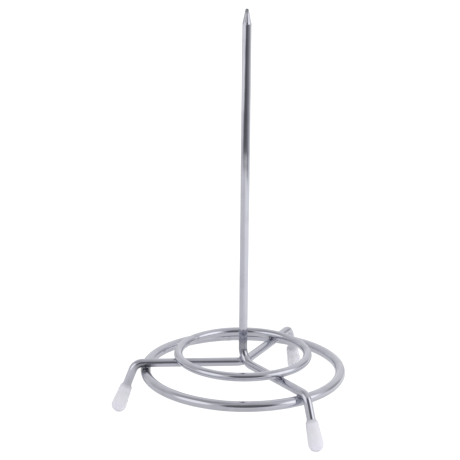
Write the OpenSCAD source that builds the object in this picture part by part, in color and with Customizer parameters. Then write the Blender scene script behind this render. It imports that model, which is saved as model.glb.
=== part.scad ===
// Bill spike: a bent wire spike on a three-legged stand of welded wire, with plastic caps on its feet.
// Millimetres. The spike stands on the Z axis, the feet rest on z = 0 and the front leg points along -Y.

/* [Wire] */
// Diameter of the wire of the spike, the legs and the inner ring
wire_d = 3.2; // [2.6:0.1:3.8]
// Diameter of the thicker wire of the outer ring
ring_wire_d = 3.8; // [3:0.1:4.6]

/* [Spike] */
// Height of the point above the table
overall_h = 152; // [110:1:200]
// Length of the ground cone at the point
tip_len = 5.5; // [3:0.5:9]
// Diameter of the blunted end of the cone
tip_d = 1.1; // [0.6:0.1:1.6]
// Radius of the bend from the spike into the front leg, at the middle of the wire
spike_bend_r = 5.5; // [5:0.5:10]

/* [Stand] */
// Diameter of the outer ring, at the middle of its wire
outer_ring_d = 73.5; // [68:0.5:84]
// Diameter of the inner ring, at the middle of its wire
inner_ring_d = 48.7; // [40:0.1:54]
// Height of the middle of the legs above the table
leg_h = 19; // [17:0.5:26]
// Angle between the two rear legs
rear_angle = 120; // [110:1:130]
// Radius of the bend between the two rear legs, at the middle of the wire
rear_bend_r = 6; // [4.5:0.5:9]

/* [Feet] */
// Run of a leg past the middle of the outer ring before it bends down
leg_overrun = 1; // [0.5:0.1:3]
// Radius of the bend from a leg into its foot, at the middle of the wire
foot_bend_r = 4; // [3.5:0.5:6]
// Outward lean of a foot, from upright
foot_splay = 21; // [10:1:30]

/* [Foot caps] */
// Length of a cap, from its round end to its lip
cap_len = 11.8; // [10:0.1:13]
// Diameter of the cap's bulb
cap_d = 5.6; // [5.2:0.1:6.6]
// Wall of the cap at its lip
cap_wall = 0.55; // [0.4:0.05:0.6]
// Plastic between the end of the wire and the round end of the cap
cap_sole = 3.4; // [3:0.1:4.5]
// Depth of the flat that the cap rests on
cap_flat = 0.3; // [0.2:0.05:0.6]

/* [Fits] */
// Depth to which two crossing wires are pressed into each other by the weld
weld_sink = 0.18; // [0.1:0.02:0.3]
// Depth to which the weld at the middle presses the spike's bend into the rear bend
centre_sink = 0.9; // [0.1:0.1:1.2]
// Gap between a foot's wire and the wall of its cap
cap_clear = 0.04; // [0.02:0.01:0.1]
// Growth of the wire's diameter where it is bent
bend_swell = 0.04; // [0.02:0.01:0.1]

/* [Hidden] */
$fn = 96;
chrome = [0.74, 0.74, 0.78];
milky_white = [0.93, 0.93, 0.95];
left = -1;
right = 1;

// Rings: the legs lie on the outer ring, and the inner ring lies on the legs
outer_ring_r = outer_ring_d / 2;
outer_ring_z = leg_h - wire_d / 2 - ring_wire_d / 2 + weld_sink;
inner_ring_z = leg_h + wire_d - weld_sink;

// Rear pair: its bend nestles against the outside of the spike's bend
nest_r = spike_bend_r + wire_d - centre_sink;
rear_apex_y = sqrt(nest_r ^ 2 - spike_bend_r ^ 2) - spike_bend_r;
rear_turn = 180 - rear_angle;
rear_lead = 90 - rear_angle / 2;
rear_start = [rear_bend_r * sin(rear_turn / 2), rear_apex_y + rear_bend_r * (1 - cos(rear_turn / 2))];
rear_start_along = rear_start * [cos(rear_lead), sin(rear_lead)];

// Straight length of each leg, from the end of its bend at the middle of the stand
front_run = outer_ring_r - spike_bend_r + leg_overrun;
rear_run = sqrt(outer_ring_r ^ 2 - rear_start * rear_start + rear_start_along ^ 2)
           - rear_start_along + leg_overrun;

// Feet: each runs down from its bend to the middle of the cap's bulb
foot_turn = 90 - foot_splay;
foot_drop = leg_h - foot_bend_r * (1 - cos(foot_turn)) - (cap_d / 2 - cap_flat);
foot_len = foot_drop / cos(foot_splay);
foot_wire_len = foot_len + cap_d / 2 - cap_sole;

// Straight wire reaches this far into a bend, where the swollen bend still holds all of it
bend_lap = 0.2;

// Cap profile: a cone tangent to the bulb, from the lip down
bulb_r = cap_d / 2;
socket_r = wire_d / 2 + cap_clear;
lip_r = socket_r + cap_wall;
lip_y = cap_len - bulb_r - cap_wall / 2;
cone_lean = atan2(lip_y, lip_r) - acos(bulb_r / norm([lip_r, lip_y]));
table_cut = 2 * (cap_d + outer_ring_d);

// Wire bent through an angle about the Z axis, from the +X side
module wire_bend(radius, angle) {
    rotate_extrude(angle = angle) translate([radius, 0]) circle(d = wire_d + bend_swell);
}

// Straight wire along +X, lapped into the bends at both of its ends
module wire_run(length) {
    translate([-bend_lap, 0, 0]) rotate([0, 90, 0]) cylinder(d = wire_d, h = length + 2 * bend_lap);
}

// Places its child at the top of a foot, with +Z down the foot, for a leg that runs along +X
module at_foot(run) {
    translate([run + foot_bend_r * sin(foot_turn), 0, -foot_bend_r * (1 - cos(foot_turn))])
        rotate([0, 90 + foot_turn, 0]) children();
}

// A leg along +X, its bend and its foot
module leg(run) {
    wire_run(run);
    translate([run, 0, -foot_bend_r]) rotate([90, 0, 0]) rotate(90 - foot_turn)
        wire_bend(foot_bend_r, foot_turn);
    at_foot(run) translate([0, 0, -bend_lap]) cylinder(d = wire_d, h = foot_wire_len + bend_lap);
}

module at_front_leg() {
    translate([0, -spike_bend_r, leg_h]) rotate(-90) children();
}

module at_rear_leg(side) {
    translate([side * rear_start.x, rear_start.y, leg_h]) rotate(90 - side * rear_angle / 2) children();
}

// One wire: the ground point, the spike, its bend and the front leg
module spike_wire() {
    bend_top = leg_h + spike_bend_r;
    shank_top = overall_h - tip_len;
    translate([0, 0, shank_top]) cylinder(d1 = wire_d, d2 = tip_d, h = tip_len);
    translate([0, 0, bend_top - bend_lap]) cylinder(d = wire_d, h = shank_top - bend_top + bend_lap);
    translate([0, -spike_bend_r, bend_top]) rotate([90, 0, -90]) rotate(180) wire_bend(spike_bend_r, 90);
    at_front_leg() leg(front_run);
}

// One wire: the two rear legs and the bend between them
module rear_wire() {
    translate([0, rear_apex_y + rear_bend_r, leg_h]) rotate(-90 - rear_turn / 2)
        wire_bend(rear_bend_r, rear_turn);
    for (side = [left, right]) at_rear_leg(side) leg(rear_run);
}

module ring(diameter, wire) {
    rotate_extrude() translate([diameter / 2, 0]) circle(d = wire);
}

// Half section of a foot cap, with the middle of its bulb at the origin and its socket upwards
module cap_profile() {
    difference() {
        union() {
            intersection() {
                circle(r = bulb_r);
                translate([0, -bulb_r]) square([bulb_r, cap_d]);
            }
            polygon([[0, 0], bulb_r * [cos(cone_lean), sin(cone_lean)], [lip_r, lip_y], [0, lip_y]]);
            translate([lip_r - cap_wall / 2, lip_y]) circle(d = cap_wall);
        }
        translate([0, cap_sole - bulb_r]) square([socket_r, cap_len]);
    }
}

// A cap pushed on the foot of a leg along +X
module foot_cap(run) {
    at_foot(run) translate([0, 0, foot_len]) rotate([180, 0, 0]) rotate_extrude() cap_profile();
}

// Takes off what lies below the table
module rest_on_table() {
    difference() {
        children();
        translate([-table_cut / 2, -table_cut / 2, -cap_d]) cube([table_cut, table_cut, cap_d]);
    }
}

module spike_and_front_leg() {
    color(chrome) spike_wire();
}

module rear_leg_pair() {
    color(chrome) difference() {
        rear_wire();
        spike_wire();
    }
}

module outer_ring() {
    color(chrome) difference() {
        translate([0, 0, outer_ring_z]) ring(outer_ring_d, ring_wire_d);
        spike_wire();
        rear_wire();
    }
}

module inner_ring() {
    color(chrome) difference() {
        translate([0, 0, inner_ring_z]) ring(inner_ring_d, wire_d);
        spike_wire();
        rear_wire();
    }
}

module front_foot_cap() {
    color(milky_white) rest_on_table() at_front_leg() foot_cap(front_run);
}

module left_foot_cap() {
    color(milky_white) rest_on_table() at_rear_leg(left) foot_cap(rear_run);
}

module right_foot_cap() {
    color(milky_white) rest_on_table() at_rear_leg(right) foot_cap(rear_run);
}

spike_and_front_leg();
rear_leg_pair();
outer_ring();
inner_ring();
front_foot_cap();
left_foot_cap();
right_foot_cap();
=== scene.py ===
# %% [markdown]
# # A bill spike in chromed wire
# A bill spike holds paid slips on a desk: each slip is pushed down over a pointed wire.
# This one has four wires, welded and chromed as one stand, and three soft plastic caps on its feet.
# The lesson builds a smooth, finished version of each piece around the packed CAD model.
# The CAD model sets every place and size, so the first cell loads it and keeps its box.

# %% Load the packed model
import math
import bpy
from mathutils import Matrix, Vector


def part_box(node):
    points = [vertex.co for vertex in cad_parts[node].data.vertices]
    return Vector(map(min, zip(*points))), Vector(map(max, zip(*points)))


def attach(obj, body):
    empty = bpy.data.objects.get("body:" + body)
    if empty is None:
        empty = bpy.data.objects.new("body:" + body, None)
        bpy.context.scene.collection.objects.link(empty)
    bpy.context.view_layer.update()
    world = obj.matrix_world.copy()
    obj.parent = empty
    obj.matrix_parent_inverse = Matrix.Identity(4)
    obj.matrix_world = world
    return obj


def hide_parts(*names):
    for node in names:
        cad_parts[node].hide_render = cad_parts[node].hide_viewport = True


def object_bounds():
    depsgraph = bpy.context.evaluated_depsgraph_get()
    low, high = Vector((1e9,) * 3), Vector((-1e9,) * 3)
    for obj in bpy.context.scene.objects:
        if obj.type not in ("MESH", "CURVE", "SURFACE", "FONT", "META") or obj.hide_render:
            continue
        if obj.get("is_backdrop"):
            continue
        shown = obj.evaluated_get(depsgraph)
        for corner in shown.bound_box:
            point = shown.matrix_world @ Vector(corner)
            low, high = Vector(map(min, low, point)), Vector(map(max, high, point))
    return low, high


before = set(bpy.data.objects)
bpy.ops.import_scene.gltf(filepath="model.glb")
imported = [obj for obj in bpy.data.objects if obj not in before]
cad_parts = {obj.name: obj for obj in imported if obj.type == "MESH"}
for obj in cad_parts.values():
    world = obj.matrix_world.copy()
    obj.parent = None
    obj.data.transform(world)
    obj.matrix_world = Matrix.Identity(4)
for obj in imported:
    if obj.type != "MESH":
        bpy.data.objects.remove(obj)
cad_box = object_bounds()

from types import SimpleNamespace

import bmesh
import bpy
from mathutils import Matrix, Vector

MM = 0.001


def in_mm(lengths):
    """Lengths in millimetres, rounded for printing."""
    return [round(length / MM, 2) for length in lengths]


print("CAD nodes:", ", ".join(sorted(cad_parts)))
print("CAD box in mm:", in_mm(cad_box[1] - cad_box[0]))

# %% [markdown]
# ## Sizes
# The spike stands on the Z axis, the feet rest on z = 0 and the front leg points along -Y.
# The sizes are those of the CAD source, in metres. Each bend of a wire is given by its sharp corner
# and its radius, as on a bender's drawing, so a whole wire is only a handful of points.
# The finished pieces have to stay inside the CAD model's box, so the point and the caps are drawn in
# by a hair, the inset.

# %% Sizes of the wires
wire_d = 3.2 * MM
wire_r = wire_d / 2
ring_wire_d = 3.8 * MM
ring_wire_r = ring_wire_d / 2
overall_h = 152 * MM
tip_len, tip_d = 5.5 * MM, 1.1 * MM
spike_bend_r, rear_bend_r, foot_bend_r = 5.5 * MM, 6 * MM, 4 * MM
outer_ring_r, inner_ring_r = 36.75 * MM, 24.35 * MM
leg_h = 19 * MM
weld_sink, centre_sink = 0.18 * MM, 0.9 * MM
inset = 0.005 * MM

outer_ring_z = leg_h - wire_r - ring_wire_r + weld_sink
inner_ring_z = leg_h + wire_d - weld_sink
for node, z in (("outer_ring", outer_ring_z), ("inner_ring", inner_ring_z)):
    low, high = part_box(node)
    print(node, "middle in mm:", in_mm([z]), "in the CAD model:", in_mm([(low.z + high.z) / 2]))

# %% Sizes of the feet
leg_overrun = 1 * MM
foot_splay = math.radians(21)
cap_len, cap_d, cap_wall, cap_flat = 11.8 * MM, 5.6 * MM, 0.55 * MM, 0.3 * MM
cap_sole, cap_clear = 3.4 * MM, 0.04 * MM

foot_turn = math.pi / 2 - foot_splay
corner_reach = foot_bend_r * math.tan(foot_turn / 2)
foot_drop = leg_h - foot_bend_r * (1 - math.cos(foot_turn)) - (cap_d / 2 - cap_flat)
foot_len = foot_drop / math.cos(foot_splay)
foot_wire_len = foot_len + cap_d / 2 - cap_sole
print("foot, from its bend to the middle of the cap's bulb, in mm:", in_mm([foot_len]))

# %% [markdown]
# ## Lines of the stand
# Every piece sits on a few lines and points: where each leg runs, where its foot ends, and where two
# wires cross. They could be read off the CAD meshes, but the formulas of the CAD source give them
# exactly. The prints hold them against the boxes of the CAD model.

# %% Lines of the legs
legs = ("front", "left", "right")
rear_half_angle = math.radians(60)
leg_angle = {
    "front": -math.pi / 2,
    "left": math.pi / 2 + rear_half_angle,
    "right": math.pi / 2 - rear_half_angle,
}
way = {leg: Vector((math.cos(angle), math.sin(angle), 0)) for leg, angle in leg_angle.items()}
nest_r = spike_bend_r + wire_d - centre_sink
rear_apex_y = math.sqrt(nest_r ** 2 - spike_bend_r ** 2) - spike_bend_r
rear_corner_y = rear_apex_y + rear_bend_r * (1 - 1 / math.sin(rear_half_angle))
rear_hub = Vector((0, rear_corner_y, leg_h))
hub = {"front": Vector((0, 0, leg_h)), "left": rear_hub, "right": rear_hub}


def on_leg(leg, radius):
    """The point of a leg's middle line at this distance from the spike's axis."""
    start, along = hub[leg].xy, way[leg].xy
    lead = start.dot(along)
    return hub[leg] + way[leg] * (math.sqrt(radius ** 2 - start.length_squared + lead ** 2) - lead)


for leg in legs:
    print(leg, "leg over the outer ring, in mm:", in_mm(on_leg(leg, outer_ring_r)))

# %% Ends of the feet
straight_up = Vector((0, 0, 1))
foot_way = {leg: way[leg] * math.sin(foot_splay) - straight_up * math.cos(foot_splay) for leg in legs}
foot_corner = {leg: on_leg(leg, outer_ring_r) + way[leg] * (leg_overrun + corner_reach) for leg in legs}
foot_end = {leg: foot_corner[leg] + foot_way[leg] * (corner_reach + foot_wire_len) for leg in legs}
bulb_middle = {leg: foot_corner[leg] + foot_way[leg] * (corner_reach + foot_len) for leg in legs}
for leg in legs:
    low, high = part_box(leg + "_foot_cap")
    print(leg, "bulb in mm:", in_mm(bulb_middle[leg]),
          "cap's middle in the CAD model:", in_mm((low + high) / 2))

# %% Places of the welds
weld_shift = straight_up * ((wire_d - weld_sink) / 2)
outer_spot = {leg: on_leg(leg, outer_ring_r) - weld_shift for leg in legs}
inner_spot = {leg: on_leg(leg, inner_ring_r) + weld_shift for leg in legs}
spike_bend_middle = Vector((0, -spike_bend_r, leg_h + spike_bend_r))
centre_press = (Vector((0, rear_apex_y, leg_h)) - spike_bend_middle).normalized()
centre_spot = spike_bend_middle + centre_press * (nest_r - (wire_d - centre_sink) / 2)
print("weld in the middle of the stand, in mm:", in_mm(centre_spot))

# %% [markdown]
# ## Camera
# The photograph looks slightly down on the stand from the left of its front leg.
# A camera of about 122 mm on a 36 mm sensor flattens the rings as the photograph does.
# The camera's three axes are worked out first and set as one matrix, because the picture is also
# turned a little, which a plain look-at would lose.

# %% Camera
view_turn, view_tilt, view_roll = map(math.radians, (-33.8, 16.195, 0.55))
view_distance = 574.88 * MM
view_target = Vector((-4.427, 2.964, 70.382)) * MM
picture_side, focal_pixels = 460, 1560

back = Vector((math.sin(view_turn) * math.cos(view_tilt),
               -math.cos(view_turn) * math.cos(view_tilt),
               math.sin(view_tilt)))
level_right = Vector((math.cos(view_turn), math.sin(view_turn), 0))
level_up = back.cross(level_right)
right = level_right * math.cos(view_roll) + level_up * math.sin(view_roll)
up = level_up * math.cos(view_roll) - level_right * math.sin(view_roll)

camera = bpy.data.objects.new("camera", bpy.data.cameras.new("camera"))
bpy.context.scene.collection.objects.link(camera)
camera.data.sensor_width = 36
camera.data.lens = focal_pixels / picture_side * camera.data.sensor_width
camera.data.clip_start, camera.data.clip_end = 0.01, 50
camera_turn = Matrix((right, up, back)).transposed().to_4x4()
camera.matrix_world = Matrix.Translation(view_target + back * view_distance) @ camera_turn
bpy.context.scene.camera = camera
print("lens in mm:", round(camera.data.lens, 1))

# %% [markdown]
# ## Sums with sockets
# A node tree is easier to read as a formula. `Signal` wraps a socket: sums on it add Math nodes,
# and `add` makes any other node, with its settings first and its sockets after.
# The same class serves shader trees and geometry trees.

# %% A socket that takes part in sums
class Signal:
    """An output socket of a node tree, to be used in Python sums."""

    def __init__(self, tree, socket=None):
        self.tree, self.socket = tree, socket

    def add(self, kind, settings=None, inputs=None, out=0):
        """Adds a node of this kind and returns one of its outputs, if it has any."""
        node = self.tree.nodes.new(kind)
        for name, value in (settings or {}).items():
            setattr(node, name, value)
        for name, value in (inputs or {}).items():
            socket = node.inputs[name] if isinstance(name, int) else next(
                s for s in node.inputs if s.enabled and name in (s.name, s.identifier))
            if isinstance(value, Signal):
                self.tree.links.new(value.socket, socket)
            else:
                socket.default_value = value
        return Signal(self.tree, node.outputs[out]) if node.outputs else None

    def maths(self, operation, *values):
        """Adds a Math node on these values."""
        return self.add("ShaderNodeMath", {"operation": operation}, dict(enumerate(values)))

    def vectors(self, operation, *values, out=0):
        """Adds a Vector Math node on these values."""
        return self.add("ShaderNodeVectorMath", {"operation": operation}, dict(enumerate(values)), out)

    def dot(self, direction):
        """How far a vector goes in this direction."""
        return self.vectors("DOT_PRODUCT", self, direction, out="Value")

    def parts(self):
        """The X, Y and Z of a vector."""
        node = self.add("ShaderNodeSeparateXYZ", inputs={"Vector": self}).socket.node
        return [Signal(self.tree, socket) for socket in node.outputs]

    def rise(self, low, high):
        """0 at low, 1 at high and smooth between them; it falls if high is below low."""
        return self.add("ShaderNodeMapRange", {"interpolation_type": "SMOOTHSTEP"},
                        {"Value": self, "From Min": low, "From Max": high})

    def __add__(self, other):
        return self.maths("ADD", self, other)

    def __sub__(self, other):
        return self.maths("SUBTRACT", self, other)

    def __rsub__(self, other):
        return self.maths("SUBTRACT", other, self)

    def __mul__(self, other):
        return self.maths("MULTIPLY", self, other)

    def __truediv__(self, other):
        return self.maths("DIVIDE", self, other)

    def __rtruediv__(self, other):
        return self.maths("DIVIDE", other, self)

    def __pow__(self, other):
        return self.maths("POWER", self, other)

    __radd__, __rmul__ = __add__, __mul__


def between(first, second, share):
    """Goes from the first value to the second as share goes from 0 to 1."""
    return first + share * (second - first)


print("operators of Signal:", sorted(n for n in vars(Signal) if n.startswith("__r") or n == "__pow__"))

# %% [markdown]
# ## The room that the chrome shows
# Chrome has no colour of its own: its bands are the room around it. The picture's bands tell of
# a white table, pale walls, a bright panel on each side, and darkness behind the camera.
# A picture of a room could be wrapped round the scene, but a world made of soft patches needs no
# file, and each band can be set by itself. Each patch has a side in degrees, counted from straight
# behind the object round to the right, a height above the horizon, a core, an edge and a tone.
# Only reflections show the patches. Plain shading gets a soft light, and the camera sees white.

# %% Directions in the room
def heading(side, height):
    """A direction in the part's frame, from its side and height as the camera sees them."""
    side, height = math.radians(side), math.radians(height)
    level_away = Vector((-math.sin(view_turn), math.cos(view_turn), 0))
    flat = level_right * math.sin(side) + level_away * math.cos(side)
    return flat * math.cos(height) + Vector((0, 0, math.sin(height)))


to_the_right, to_the_front = heading(90, 0), heading(180, 0)
light_side = heading(75, 40)
print("the soft light comes from:", [round(part, 2) for part in light_side])

# %% World
world = bpy.data.worlds.new("studio")
bpy.context.scene.world = world
world.use_nodes = True
world.node_tree.nodes.clear()
ray = Signal(world.node_tree).add("ShaderNodeTexCoord", out="Generated")
darkest_blue = 0.014


def cover(side, height, core, edge):
    """1 within core degrees of a direction, 0 beyond edge degrees."""
    return ray.dot(heading(side, height)).rise(math.cos(math.radians(edge)), math.cos(math.radians(core)))


def room_grey(signal, tone):
    """A grey of the room: the darker it is, the bluer."""
    return signal.add("ShaderNodeCombineColor", inputs={
        "Red": tone, "Green": tone, "Blue": between(darkest_blue, 1, tone)})


room = {
    "pale ceiling": (0, 88, 10, 40, 0.62),
    "dim ceiling on the left": (-105, 58, 12, 36, 0.44),
    "pale rear wall": (15, 33, 14, 36, 0.82),
    "grey wall on the left": (-75, 20, 8, 26, 0.60),
    "grey wall on the right": (60, 9, 6, 22, 0.48),
    "gap beside the backdrop": (-35, 6, 5, 14, 0.60),
    "white backdrop": (4, 4, 9, 22, 0.90),
    "dim ceiling behind the camera": (170, 50, 8, 34, 0.52),
    "dark side of the room": (173, 22, 22, 34, 0.16),
    "panel on the left": (-122, 20, 16, 27, 1.22),
    "panel on the right": (110, 22, 17, 29, 1.4),
}
rest_of_room, light_lean = 0.74, 0.2

tone = rest_of_room
for side, height, core, edge, patch_tone in room.values():
    tone = between(tone, patch_tone, cover(side, height, core, edge))
soft_light = 1.0 + light_lean * ray.dot(light_side)
tone = between(tone, soft_light, ray.add("ShaderNodeLightPath", out="Is Diffuse Ray"))
tone = between(tone, 1, ray.add("ShaderNodeLightPath", out="Is Camera Ray"))
backdrop = ray.add("ShaderNodeBackground", inputs={"Color": room_grey(ray, tone)})
ray.add("ShaderNodeOutputWorld", inputs={"Surface": backdrop})
bpy.context.scene.view_settings.view_transform = "Standard"
print("patches in the room:", len(room))

# %% [markdown]
# ## Floor and table
# The photograph stands on plain white. The floor is a wide white disc that glows a little, so that
# it comes out white while the feet still leave a faint shadow.
# The chrome sees a second sheet, the table top: white, a bit darker on the left and under the
# object. Some 40 cm away, in front and on the right, it ends in the gloom of the room, and that is
# what makes the upper half of the spike dark. It ends behind the object too, so that the spike has
# a dark band from the back as well. One sheet can't be plain white for the camera and graded for
# the chrome, so there are two.

# %% Floor
def material_start(name):
    """A material with an empty tree, and a signal to add its first nodes."""
    material = bpy.data.materials.new(name)
    material.use_nodes = True
    material.node_tree.nodes.clear()
    return material, Signal(material.node_tree)


def stage_sheet(name, corners, height, material):
    """A flat sheet that belongs to the scene and not to the object."""
    mesh = bpy.data.meshes.new(name)
    mesh.from_pydata([(x, y, height) for x, y in corners], [], [range(len(corners))])
    mesh.materials.append(material)
    sheet = bpy.data.objects.new(name, mesh)
    bpy.context.scene.collection.objects.link(sheet)
    sheet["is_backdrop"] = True
    return sheet


floor_radius, floor_sides, floor_z = 8, 96, -0.02 * MM
glow_strength, glow_share = 1.2, 0.75
floor_white, nodes = material_start("floor_white")
paper = nodes.add("ShaderNodeBsdfDiffuse", inputs={"Color": (0.8, 0.8, 0.8, 1)})
glow = nodes.add("ShaderNodeEmission", inputs={"Strength": glow_strength})
floor_mix = nodes.add("ShaderNodeMixShader", inputs={"Fac": glow_share, 1: paper, 2: glow})
nodes.add("ShaderNodeOutputMaterial", inputs={"Surface": floor_mix})
turns = [math.tau * i / floor_sides for i in range(floor_sides)]
floor_round = [(floor_radius * math.cos(turn), floor_radius * math.sin(turn)) for turn in turns]
floor = stage_sheet("floor", floor_round, floor_z, floor_white)
floor.visible_glossy = floor.visible_diffuse = False
print("floor across in metres:", 2 * floor_radius)

# %% Table, as the chrome sees it
table_half, table_z = 1.5, -0.01 * MM
stand_shade, front_edge, rear_edge = (0.02, 0.11), (0.36, 0.45), (0.26, 0.36)
rear_gloom = 0.2

table_white, nodes = material_start("table_white")
spot = nodes.add("ShaderNodeTexCoord", out="Object")
rightwards, frontwards = spot.dot(to_the_right), spot.dot(to_the_front)
radius = spot.vectors("LENGTH", spot, out="Value") + 0.001
right_share, front_share = rightwards / radius, frontwards / radius

side_tone = 0.75 + 0.26 * rightwards.rise(-0.08, 0.16) + 0.24 * rightwards.rise(-0.2, -0.6)
table_tone = side_tone * (0.86 + 0.14 * radius.rise(*stand_shade))
past_edge = (radius + 0.04 * right_share.rise(0.3, 0.9)).rise(*front_edge)
past_edge = past_edge * rightwards.rise(-0.6, -0.28) * front_share.rise(-0.5, -0.15)
gloom = 0.13 + 0.17 * right_share.rise(0.2, 0.9) + 0.28 * front_share.rise(0.5, -0.1)
table_tone = between(table_tone, gloom, past_edge)
past_rear_edge = radius.rise(*rear_edge) * front_share.rise(-0.65, -0.92)
table_tone = between(table_tone, rear_gloom, past_rear_edge)

table_glow = nodes.add("ShaderNodeEmission", inputs={"Color": room_grey(nodes, table_tone)})
nodes.add("ShaderNodeOutputMaterial", inputs={"Surface": table_glow})
table_corners = [(table_half * x, table_half * y) for x, y in ((-1, -1), (1, -1), (1, 1), (-1, 1))]
table = stage_sheet("table", table_corners, table_z, table_white)
table.visible_camera = table.visible_diffuse = table.visible_shadow = False
print("table, as the chrome sees it:", len(table_white.node_tree.nodes), "nodes")

# %% [markdown]
# ## Chrome
# The wires are plated after welding: bright, a little blue, and as smooth as the drawn wire below.
# A metal with low roughness does most of it. What makes it real is unevenness: faint lines along
# the wire from its drawing, cloudy patches of haze, and strokes of the file on the point.
# Painted shade darkens the chrome at some crossings, under the legs, and a painted dark band sits
# on the spike above its bend; the same mask makes the chrome there a little hazier. The chrome round
# the outer ring's welds is a little duller.
# The lines follow the wire, so they read attributes that the wire's geometry nodes store.

# %% Painted shade round the welds
def noise(place, scale, detail, out="Fac"):
    """A cloud of values about 0.5, with this many bumps to a unit of length."""
    return place.add("ShaderNodeTexNoise", inputs={
        "Vector": place, "Scale": scale, "Detail": detail}, out=out)


def nearness(place, spots, core, edge):
    """1 within the core distance of the nearest of these spots, 0 beyond the edge distance."""
    first, *others = [place.vectors("DISTANCE", place, spot, out="Value") for spot in spots]
    for other in others:
        first = first.maths("MINIMUM", first, other)
    return first.rise(edge, core)


# Painted shade under the legs where they cross the outer ring: how dark, and how far it reaches.
ring_shade_reach = {"left": (0.5, 5.2 * MM), "front": (0.15, 4.4 * MM)}
# How dark the painted shade is by the inner crossings, and how dark the painted band on the spike is.
inner_shade_depth, spike_band_depth = 0.28, 0.36
# Where the painted dark band sits on the spike, above its bend.
spike_band_middle = Vector((0, 0, leg_h + spike_bend_r + 1 * MM))


def painted_weld_shade(place):
    """How much painted shade darkens the chrome round the welds and on the spike: 0 is none."""
    # Patches that break up the painted shade by the inner crossings.
    shade_patches = noise(place, scale=420, detail=2).rise(0.25, 0.5)
    # The painted shade falls on the part below the leg's middle.
    below_leg = place.parts()[2].rise(leg_h + 0.8 * MM, leg_h - 0.6 * MM)
    marks = nearness(place, inner_spot.values(), core=1.2 * MM, edge=3.0 * MM) * inner_shade_depth * shade_patches
    for leg, (depth, reach) in ring_shade_reach.items():
        marks = marks + nearness(place, [outer_spot[leg]], 0.5 * reach, reach) * below_leg * depth
    return marks + nearness(place, [spike_band_middle], core=1.8 * MM, edge=4.4 * MM) * spike_band_depth


# The middle of the painted dark band on the spike.
print("painted dark band at the foot of the spike, in mm:", in_mm(spike_band_middle))

# %% Chrome
chrome_tint = (0.97, 0.98, 1.085)
line_stretch = 0.008


def tinted(signal, tone, tint):
    """A grey tone turned into a colour with this tint."""
    red, green, blue = tint
    return signal.add("ShaderNodeCombineColor", inputs={
        "Red": tone * red, "Green": tone * green, "Blue": tone * blue})


def surface_value(nodes, name, out="Fac"):
    """An attribute that the piece's mesh carries."""
    return nodes.add("ShaderNodeAttribute", {"attribute_name": name}, out=out)


def chrome_material(name, tone, haze, lines, weld_shade_strength):
    """Chrome of this tone, with haze, lines of drawing and painted shade round the welds as strong as this.
    """
    material, nodes = material_start(name)
    place = nodes.add("ShaderNodeTexCoord", out="Object")
    along, filed = surface_value(nodes, "along"), surface_value(nodes, "filed")
    across, beside, _ = surface_value(nodes, "around", out="Vector").parts()
    drawn = nodes.add("ShaderNodeCombineXYZ", inputs={"X": across, "Y": beside, "Z": along * line_stretch})
    line = noise(drawn, scale=5200, detail=3)
    cloud = noise(place, scale=160, detail=3)
    grain = noise(place, scale=2600, detail=2)
    stroke = noise(nodes.add("ShaderNodeCombineXYZ", inputs={"X": along}), scale=5000, detail=2)

    # Painted shade round the welds; the same mask adds a little haze.
    dark_near_welds = weld_shade_strength * painted_weld_shade(place)
    dull = nearness(place, outer_spot.values(), core=2.2 * MM, edge=5 * MM)
    # The filed point gets darker towards its tip.
    darker_to_tip = filed * (0.1 + 0.5 * along.rise(2.2 * MM, 0.2 * MM))
    shade = tone * (1 - 0.10 * cloud.rise(0.45, 0.75) - 0.05 * line.rise(0.5, 0.8))
    shade = shade * (1 - dark_near_welds) * (1 - darker_to_tip)
    rough = haze * (0.7 + 0.6 * cloud + 0.25 * line) + 0.15 * dark_near_welds + 0.1 * dull + 0.16 * filed
    height = lines * line + 0.25 * grain + 0.5 * cloud + 0.6 * filed * stroke
    relief = nodes.add("ShaderNodeBump", inputs={"Strength": 0.25, "Distance": 0.02 * MM, "Height": height})
    metal = nodes.add("ShaderNodeBsdfPrincipled", inputs={
        "Base Color": tinted(nodes, shade, chrome_tint), "Metallic": 1.0, "Roughness": rough,
        "Normal": relief})
    nodes.add("ShaderNodeOutputMaterial", inputs={"Surface": metal})
    return material


bright_chrome = chrome_material("bright_chrome", tone=0.63, haze=0.05, lines=0.5, weld_shade_strength=1.0)
weld_chrome = chrome_material("weld_chrome", tone=0.6, haze=0.2, lines=0.0, weld_shade_strength=0.15)
print("chrome nodes:", len(bright_chrome.node_tree.nodes))

# %% [markdown]
# ## Milky plastic
# The caps are soft plastic, dipped or moulded, that lets light in. Subsurface scattering lets light
# travel inside a closed wall, so the thick body glows as the real one does. At the lip the wall is
# too thin for that and would come out dark, so the same plastic without scattering takes over there.
# Near the lip the colour is a painted shade, a little greyer, for the wire that would show through,
# and the bottom has a painted contact shadow, darker near the table.
# A fine bump with cloudy roughness keeps the surface from looking like wax.

# %% Milky plastic
plastic_tint = (0.985, 0.972, 1.075)
milky_plastic, nodes = material_start("milky_plastic")
place = nodes.add("ShaderNodeTexCoord", out="Object")
mottle = noise(place, scale=420, detail=3)
skin = noise(place, scale=3400, detail=2)
below_lip = surface_value(nodes, "below_lip")
# Painted contact shadow: the colour darkens near the table.
contact_shadow_share = place.parts()[2].rise(1.2 * MM, 0.1 * MM)

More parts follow.
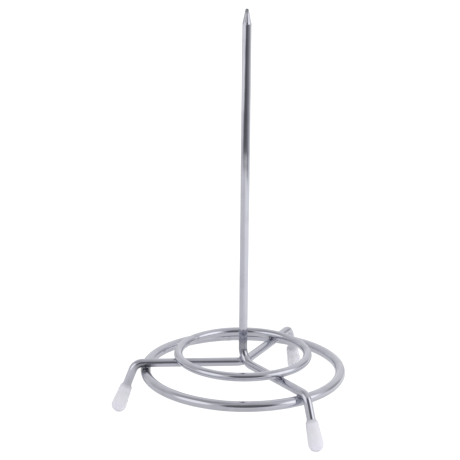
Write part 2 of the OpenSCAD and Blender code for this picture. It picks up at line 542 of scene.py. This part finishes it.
# Painted shade of the wire seen through the thin wall: the colour is greyer towards the lip.
body_tone_and_shade = 0.50 + 0.24 * below_lip.rise(-0.4 * MM, 1.8 * MM) + 0.07 * below_lip.rise(1 * MM, 5 * MM)
body_tone_and_shade = (body_tone_and_shade + 0.05 * mottle) * (1 - 0.22 * contact_shadow_share)
plastic_look = {
    "Base Color": tinted(nodes, body_tone_and_shade, plastic_tint),
    "Roughness": 0.36 + 0.14 * mottle,
    "IOR": 1.5,
    "Normal": nodes.add("ShaderNodeBump", inputs={
        "Strength": 0.1, "Distance": 0.01 * MM, "Height": skin + 0.6 * mottle}),
}
thin_wall = nodes.add("ShaderNodeBsdfPrincipled", inputs=plastic_look)
thick_body = nodes.add("ShaderNodeBsdfPrincipled", inputs={
    **plastic_look, "Subsurface Weight": 0.8, "Subsurface Radius": (1.0, 0.95, 1.0),
    "Subsurface Scale": 1.6 * MM})
plastic = nodes.add("ShaderNodeMixShader", inputs={
    "Fac": below_lip.rise(0.5 * MM, 4 * MM), 1: thin_wall, 2: thick_body})
nodes.add("ShaderNodeOutputMaterial", inputs={"Surface": plastic})
print("plastic nodes:", len(milky_plastic.node_tree.nodes))

# %% [markdown]
# ## Geometry trees
# Wires, rings and welds follow rules, so each kind gets a Geometry Nodes tree with its sizes as named
# inputs. The helpers start a tree, end it with Realize Instances and Set Material, and run it once.
# The modifier could stay on the object, but a plain mesh is surer: what is seen here is what any
# other program gets.

# %% Start, end and run of a tree
def geometry_tree(name, **inputs):
    """A tree with a mesh going in and out. The mesh and the named sizes come back as signals."""
    tree = bpy.data.node_groups.new(name, "GeometryNodeTree")
    tree.interface.new_socket("Geometry", in_out="OUTPUT", socket_type="NodeSocketGeometry")
    for label, kind in (("Geometry", "Geometry"), *inputs.items()):
        tree.interface.new_socket(label, in_out="INPUT", socket_type="NodeSocket" + kind)
    entry = tree.nodes.new("NodeGroupInput")
    start, *sizes = [Signal(tree, socket) for socket in entry.outputs if socket.name]
    return tree, start, SimpleNamespace(**dict(zip(inputs, sizes)))


def finish_tree(shape, material):
    """Makes copies real, gives the shape its finish and sends it out."""
    plain = shape.add("GeometryNodeRealizeInstances", inputs={"Geometry": shape})
    shape.add("NodeGroupOutput", inputs={"Geometry": shape.add(
        "GeometryNodeSetMaterial", inputs={"Geometry": plain, "Material": material})})


def grow(name, tree, start, **sizes):
    """Runs a tree on a start mesh and keeps the result as a plain mesh."""
    piece = bpy.data.objects.new(name, start)
    bpy.context.scene.collection.objects.link(piece)
    modifier = piece.modifiers.new("grow", "NODES")
    modifier.node_group = tree
    for item in tree.interface.items_tree:
        if item.in_out == "INPUT" and item.name in sizes:
            modifier[item.identifier] = sizes[item.name]
    grown = piece.evaluated_get(bpy.context.evaluated_depsgraph_get())
    mesh = bpy.data.meshes.new_from_object(grown)
    piece.modifiers.remove(modifier)
    piece.data = mesh
    mesh.name = name
    print(name, "has", len(mesh.vertices), "vertices and", len(mesh.polygons), "faces")
    return piece


def tell(*helpers):
    """Prints what each helper does."""
    for helper in helpers:
        print(helper.__name__ + ":", helper.__doc__)


tell(geometry_tree, finish_tree, grow)

# %% [markdown]
# ## Bent wire
# A wire bender works from a list of corners and radii, and so does this tree: it turns the corners
# into a curve, rounds each by its own radius, and sweeps a circle along it. A slow wobble of a few
# hundredths of a millimetre stands for hand forming: it moves no outline, but it bends the
# reflections as in the photograph. The ground point is a scale that grows over its first
# millimetres, with the flats that a file leaves. A curve with a bevel would be quicker,
# but it can't tell the chrome which way the wire runs or where it was filed.

# %% Helpers for wires
def stored(shape, name, kind="FLOAT"):
    """Reads an attribute of a shape's points."""
    return shape.add("GeometryNodeInputNamedAttribute", {"data_type": kind}, {"Name": name})


def store(shape, name, value, kind="FLOAT"):
    """Gives a shape's points an attribute."""
    return shape.add("GeometryNodeStoreNamedAttribute", {"data_type": kind, "domain": "POINT"},
                     {"Geometry": shape, "Name": name, "Value": value})


def moved(shape, place, socket="Offset"):
    """Moves a shape's points by an Offset, or puts them at a new Position."""
    return shape.add("GeometryNodeSetPosition", inputs={"Geometry": shape, socket: place})


def round_curve(shape, radius, points):
    """A circle of this radius, with this many points."""
    return shape.add("GeometryNodeCurvePrimitiveCircle", {"mode": "RADIUS"},
                     {"Resolution": points, "Radius": radius})


def wobbled(curve, amount):
    """Moves the points of a curve by a slow noise of this amount."""
    place = curve.add("GeometryNodeInputPosition")
    drift = place.vectors("SUBTRACT", noise(place, scale=55, detail=2, out="Color"), (0.5, 0.5, 0.5))
    drift = place.add("ShaderNodeVectorMath", {"operation": "SCALE"}, {0: drift, "Scale": amount})
    return moved(curve, drift)


def swept(curve, diameter, scale, filed, sides):
    """Sweeps a wire's circle along a curve. Stores the places along and around it, and the filing."""
    marked = store(curve, "along", curve.add("GeometryNodeSplineParameter", out="Length"))
    marked = store(marked, "filed", filed)
    circle = round_curve(curve, diameter * 0.5, sides)
    circle = store(circle, "around", circle.add("GeometryNodeInputPosition"), "FLOAT_VECTOR")
    skin = marked.add("GeometryNodeCurveToMesh", inputs={
        "Curve": marked, "Profile Curve": circle, "Scale": scale, "Fill Caps": True})
    corners = skin.add("GeometryNodeInputMeshFaceNeighbors", out="Vertex Count")
    not_an_end = corners.maths("LESS_THAN", corners, 5)
    return skin.add("GeometryNodeSetShadeSmooth", {"domain": "FACE"}, {
        "Geometry": skin, "Shade Smooth": not_an_end})


tell(stored, store, moved, round_curve, wobbled, swept)

# %% Tree of a bent wire: the sweep
bend_points, steady_len = 40, 12 * MM
shoulder_blend, rim_len, rim_share = 0.02, 0.2 * MM, 0.25
bent_wire, corners, size = geometry_tree(
    "bent_wire", diameter="Float", point_length="Float", point_diameter="Float", facet_turn="Float",
    wobble="Float", sides="Int", step="Float", finish="Material")
path = corners.add("GeometryNodeMeshToCurve", inputs={"Mesh": corners})
path = path.add("GeometryNodeFilletCurve", {"mode": "POLY"}, {
    "Curve": path, "Count": bend_points, "Radius": stored(corners, "bend_radius")})
path = path.add("GeometryNodeResampleCurve", {"mode": "LENGTH"}, {"Curve": path, "Length": size.step})
depth = path.add("GeometryNodeSplineParameter", out="Length")
path = wobbled(path, size.wobble * depth.rise(0, steady_len))

ground = size.point_diameter / size.diameter
cone = between(ground, 1, depth / size.point_length)
taper = cone.maths("SMOOTH_MIN", 1, cone, (1 - ground) * shoulder_blend)
blunt = 1 - rim_share * (1 - ground) * depth.rise(rim_len, 0)
filed = (1 - ground).rise(0, 0.01) * depth.rise(size.point_length * 1.01, size.point_length * 0.98)
skin = swept(path, size.diameter, taper * blunt, filed, size.sides)
print("sweep of the bent wire:", len(bent_wire.nodes), "nodes")

# %% Tree of a bent wire: the filed point
facet_count = 7
facet = math.tau / facet_count
x, y, _ = skin.add("GeometryNodeInputPosition").parts()
fold = x.maths("WRAP", x.maths("ARCTAN2", y, x) - size.facet_turn, facet / 2, -facet / 2)
flat = math.cos(facet / 2) / fold.maths("COSINE", fold)
draw_in = stored(skin, "filed") * (flat - 1)
skin = moved(skin, skin.add("ShaderNodeCombineXYZ", inputs={"X": x * draw_in, "Y": y * draw_in}))
finish_tree(skin, size.finish)
print("bent wire tree:", len(bent_wire.nodes), "nodes")

# %% Spike and front leg
def wire_mesh(name, bends):
    """Corners of a wire as a line of vertices, each with its bend radius."""
    mesh = bpy.data.meshes.new(name)
    mesh.from_pydata([tuple(place) for place, _ in bends], [(i, i + 1) for i in range(len(bends) - 1)], [])
    radii = mesh.attributes.new("bend_radius", "FLOAT", "POINT")
    radii.data.foreach_set("value", [radius for _, radius in bends])
    return mesh


def dress(piece, slot, *nodes):
    """The piece rides on the stand and stands for these CAD nodes, which are hidden. The slot is not used.
    """
    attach(piece, "root")
    if nodes:
        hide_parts(*nodes)


ground_len = tip_len - 0.4 * MM
wire_sizes = {
    "diameter": wire_d, "point_length": ground_len, "point_diameter": tip_d,
    "facet_turn": math.radians(-138.5), "wobble": 0.16 * MM, "sides": 48, "step": 0.3 * MM,
    "finish": bright_chrome}
spike_bends = [(Vector((0, 0, overall_h - inset)), 0), (hub["front"], spike_bend_r),
               (foot_corner["front"], foot_bend_r), (foot_end["front"], 0)]
spike_start = wire_mesh("spike_corners", spike_bends)
spike_wire = grow("spike_and_front_leg_wire", bent_wire, spike_start, **wire_sizes)
dress(spike_wire, "chrome_wire", "spike_and_front_leg")

# %% Rear leg pair
rear_sizes = {**wire_sizes, "point_diameter": wire_d}
rear_bends = [(foot_end["left"], 0), (foot_corner["left"], foot_bend_r), (hub["left"], rear_bend_r),
              (foot_corner["right"], foot_bend_r), (foot_end["right"], 0)]
rear_wire = grow("rear_leg_pair_wire", bent_wire, wire_mesh("rear_corners", rear_bends), **rear_sizes)
dress(rear_wire, "chrome_wire", "rear_leg_pair")

# %% [markdown]
# ## Rings
# Each ring is a wire bent round and butt-welded, and then ground nearly flush. The joint stays as a
# slight swelling of a few hundredths of a millimetre, and the chrome takes it for a filed place.
# A torus would be quicker, but the circle curve takes the same wobble as the other wires, and its
# scale can swell at the joint.

# %% Tree of a ring
seam_width = 0.9 * MM
ring_tree, start, size = geometry_tree(
    "welded_ring", ring_radius="Float", height="Float", diameter="Float", joint="Float", swell="Float",
    wobble="Float", steps="Int", sides="Int", finish="Material")
hoop = round_curve(start, size.ring_radius, size.steps)
lift = start.add("ShaderNodeCombineXYZ", inputs={"Z": size.height})
hoop = hoop.add("GeometryNodeTransform", inputs={"Geometry": hoop, "Translation": lift})
turn = hoop.add("GeometryNodeSplineParameter", out="Factor")
away = (turn - size.joint) * size.ring_radius * math.tau / seam_width
seam = away.maths("EXPONENT", away * away * -1)
hoop = wobbled(hoop, size.wobble)
finish_tree(swept(hoop, size.diameter, 1 + size.swell * seam, seam, size.sides), size.finish)
print("ring tree:", len(ring_tree.nodes), "nodes")

# %% Outer and inner ring
empty_start = bpy.data.meshes.new("empty_start")
wobble_room = 0.05 * MM
ring_sizes = {"swell": 0.03, "wobble": 0.26 * MM, "steps": 480, "sides": 48, "finish": bright_chrome}
outer_wire = grow("outer_ring_wire", ring_tree, empty_start, ring_radius=outer_ring_r - wobble_room,
                  height=outer_ring_z, diameter=ring_wire_d, joint=0.18, **ring_sizes)
dress(outer_wire, "chrome_wire", "outer_ring")
inner_wire = grow("inner_ring_wire", ring_tree, empty_start, ring_radius=inner_ring_r,
                  height=inner_ring_z, diameter=wire_d, joint=0.295, **ring_sizes)
dress(inner_wire, "chrome_wire", "inner_ring")

# %% [markdown]
# ## Welds
# Where two wires cross, a welding press heats them and sinks one a little into the other. The hot
# metal that is squeezed out stays in the notch as a collar. It could be modelled by hand seven times,
# but it follows a rule: the two round wires set how far from the middle the notch has a given width.
# So one tree bends a torus into a collar, from the two wire sizes, and sets a copy on each crossing.
# In the middle of the stand the wires cross in their bends, so the tree takes their curves as well.

# %% Tree of the weld collars: the shape
collar_spread, collar_proud = 0.22, 0.07 * MM
weld_tree, crossings, size = geometry_tree(
    "weld_collars", lower_radius="Float", upper_radius="Float", lower_curve="Float", upper_curve="Float",
    sink="Float", notch="Float", finish="Material")
hoop, rod = round_curve(crossings, 1.0, 64), round_curve(crossings, 0.5, 20)
torus = crossings.add("GeometryNodeCurveToMesh", inputs={"Curve": hoop, "Profile Curve": rod})
place = torus.add("GeometryNodeInputPosition")
x, y, z = place.parts()
round_angle = x.maths("ARCTAN2", y, x)
rod_angle = x.maths("ARCTAN2", z, (x * x + y * y) ** 0.5 - 1)
cosine, sine = round_angle.maths("COSINE", round_angle), round_angle.maths("SINE", round_angle)

lower_fall, upper_rise = 0.5 / size.lower_radius, 0.5 / size.upper_radius
lower_bow, upper_bow = 0.5 * size.lower_curve, 0.5 * size.upper_curve
opening = cosine * cosine * (upper_rise + lower_bow) + sine * sine * (lower_fall + upper_bow)
flow = noise(place, scale=2.2, detail=1)
reach = ((size.notch + size.sink) / opening) ** 0.5 * (0.93 + 0.14 * flow)
along_lower, along_upper = (reach * cosine) ** 2, (reach * sine) ** 2
low = size.sink * 0.5 - along_upper * lower_fall - along_lower * lower_bow
high = size.sink * -0.5 + along_lower * upper_rise + along_upper * upper_bow
spread = reach * (1 + collar_spread * rod_angle.maths("COSINE", rod_angle))
half_height = (high - low) * 0.5 + collar_proud
height = (low + high) * 0.5 + half_height * rod_angle.maths("SINE", rod_angle)
print("shape of a collar:", len(weld_tree.nodes), "nodes")

# %% Tree of the weld collars: a copy on each crossing
shaped = place.add("ShaderNodeCombineXYZ", inputs={"X": spread * cosine, "Y": spread * sine, "Z": height})
collar = moved(torus, shaped, "Position")
collar = collar.add("GeometryNodeSetShadeSmooth", inputs={"Geometry": collar})
set_down = crossings.add("FunctionNodeAxesToRotation", {"primary_axis": "Z", "secondary_axis": "X"}, {
    "Primary Axis": stored(crossings, "press_way", "FLOAT_VECTOR"),
    "Secondary Axis": stored(crossings, "lower_way", "FLOAT_VECTOR")})
collars = crossings.add("GeometryNodeInstanceOnPoints", inputs={
    "Points": crossings, "Instance": collar, "Rotation": set_down})
finish_tree(collars, size.finish)
print("weld tree:", len(weld_tree.nodes), "nodes")

# %% The seven welds
def crossing_mesh(name, spots):
    """One vertex for each crossing, with the press's direction and the lower wire's."""
    mesh = bpy.data.meshes.new(name)
    mesh.from_pydata([tuple(spot) for spot, _, _ in spots], [], [])
    for column, label in ((1, "press_way"), (2, "lower_way")):
        ways = mesh.attributes.new(label, "FLOAT_VECTOR", "POINT")
        ways.data.foreach_set("vector", [value for spot in spots for value in spot[column]])
    return mesh


weld_sizes = {"lower_radius": wire_r, "upper_radius": wire_r, "lower_curve": 0.0, "upper_curve": 0.0,
              "sink": weld_sink, "notch": 0.16 * MM, "finish": weld_chrome}
outer_sizes = {**weld_sizes, "lower_radius": ring_wire_r}
centre_sizes = {**weld_sizes, "sink": centre_sink, "notch": 0.2 * MM,
                "lower_curve": 1 / (spike_bend_r + wire_r),
                "upper_curve": centre_press.y / (rear_bend_r + wire_r)}
outer_crossings = crossing_mesh("outer_crossings", [
    (spot, straight_up, straight_up.cross(spot.xy.to_3d()).normalized()) for spot in outer_spot.values()])
inner_crossings = crossing_mesh("inner_crossings", [
    (inner_spot[leg], straight_up, way[leg]) for leg in legs])
centre_crossing = crossing_mesh("centre_crossing", [
    (centre_spot, centre_press, centre_press.cross(Vector((1, 0, 0))))])

outer_welds = grow("outer_ring_welds", weld_tree, outer_crossings, **outer_sizes)
inner_welds = grow("inner_ring_welds", weld_tree, inner_crossings, **weld_sizes)
centre_weld = grow("centre_weld", weld_tree, centre_crossing, **centre_sizes)
for piece in (outer_welds, inner_welds, centre_weld):
    dress(piece, "chrome_wire")

# %% [markdown]
# ## Foot caps
# A cap is a round body: a bulb, a cone, a shoulder that tapers onto the wire, and a socket for it.
# A lathe fits that best: the half section is drawn once, spun round, and tilted onto each foot.
# The flat that rests on the table is cut last, because it is level on the table, not on the cap.

# %% Half section of a cap: its sizes
bulb_r = cap_d / 2 - inset
lip_r = wire_r + cap_clear + cap_wall
lip_y = cap_len - bulb_r - cap_wall / 2
lip_top = lip_y + cap_wall / 2
cone_lean = math.atan2(lip_y, lip_r) - math.acos(bulb_r / math.hypot(lip_r, lip_y))
shoulder_h = 1.5 * MM
shoulder_y = lip_top - shoulder_h
rim_r, socket_r = wire_r + 0.03 * MM, wire_r - 0.01 * MM
bulb_steps, cone_steps, shoulder_steps, socket_steps = 28, 10, 12, 10
print("top of the lip above the middle of the bulb, in mm:", in_mm([lip_top]))

# %% Half section of a cap: its points
def arc(radius, start, end, steps):
    """Points on an arc round the origin, from one angle to another."""
    angles = [between(start, end, i / steps) for i in range(steps + 1)]
    return [(radius * math.cos(angle), radius * math.sin(angle)) for angle in angles]


section = arc(bulb_r, -math.pi / 2, cone_lean, bulb_steps)
cone_foot_r, cone_foot_y = section[-1]
shoulder_r = between(cone_foot_r, lip_r, (shoulder_y - cone_foot_y) / (lip_y - cone_foot_y))
for i in range(1, cone_steps + 1):
    share = i / cone_steps
    section.append((between(cone_foot_r, shoulder_r, share), between(cone_foot_y, shoulder_y, share)))
for i in range(1, shoulder_steps + 1):
    share = i / shoulder_steps
    swing = (1 + math.cos(math.pi * share)) / 2
    section.append((between(rim_r, shoulder_r, swing), shoulder_y + shoulder_h * share))
for i in range(socket_steps + 1):
    section.append((socket_r, lip_top - (cap_len - cap_sole) * i / socket_steps))
section.append((0, cap_sole - bulb_r))
print("cap section:", len(section), "points; shoulder across in mm:", in_mm([2 * shoulder_r]))

# %% Spin of the section
def spun(section, steps):
    """A closed body from a half section. Each vertex knows how far below the lip it is."""
    body = bmesh.new()
    below_lip = body.verts.layers.float.new("below_lip")
    turns = [math.tau * i / steps for i in range(steps)]
    rings = []
    for r, h in section:
        on_axis = abs(r) < 1e-9
        rings.append([body.verts.new((r * math.cos(turn), r * math.sin(turn), h))
                      for turn in (turns[:1] if on_axis else turns)])
        for vertex in rings[-1]:
            vertex[below_lip] = lip_y - h
    for lower, upper in zip(rings, rings[1:]):
        for i in range(steps):
            j = (i + 1) % steps
            quad = [ring[k % len(ring)] for ring, k in ((lower, i), (lower, j), (upper, j), (upper, i))]
            body.faces.new(list(dict.fromkeys(quad)))
    bmesh.ops.recalc_face_normals(body, faces=body.faces)
    return body


tell(spun)

# %% Caps on the three feet
def foot_cap(leg):
    """Tilts a spun section onto a foot and cuts it level with the table."""
    body = spun(section, steps=72)
    axis = -foot_way[leg]
    side = axis.cross(straight_up).normalized()
    turned = Matrix((side, axis.cross(side), axis)).transposed().to_4x4()
    body.transform(Matrix.Translation(bulb_middle[leg]) @ turned)
    cut = bmesh.ops.bisect_plane(body, geom=body.verts[:] + body.edges[:] + body.faces[:],
                                 plane_co=(0, 0, inset), plane_no=(0, 0, -1), clear_outer=True)
    rim = [edge for edge in cut["geom_cut"] if isinstance(edge, bmesh.types.BMEdge)]
    sole = bmesh.ops.edgenet_fill(body, edges=rim)["faces"]
    bmesh.ops.recalc_face_normals(body, faces=body.faces)
    for face in body.faces:
        face.smooth = face not in sole
    name = leg + "_foot_cap_skin"
    mesh = bpy.data.meshes.new(name)
    body.to_mesh(mesh)
    body.free()
    mesh.materials.append(milky_plastic)
    piece = bpy.data.objects.new(name, mesh)
    bpy.context.scene.collection.objects.link(piece)
    dress(piece, "foot_cap", leg + "_foot_cap")
    print(name, "has", len(mesh.vertices), "vertices")


for leg in legs:
    foot_cap(leg)

# %% [markdown]
# ## Last look
# The finished pieces must not outgrow the CAD model, so both boxes are written down for comparison.

# %% Size of the finished pieces
visual_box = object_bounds()
print("visual box in mm:", in_mm(visual_box[1] - visual_box[0]))
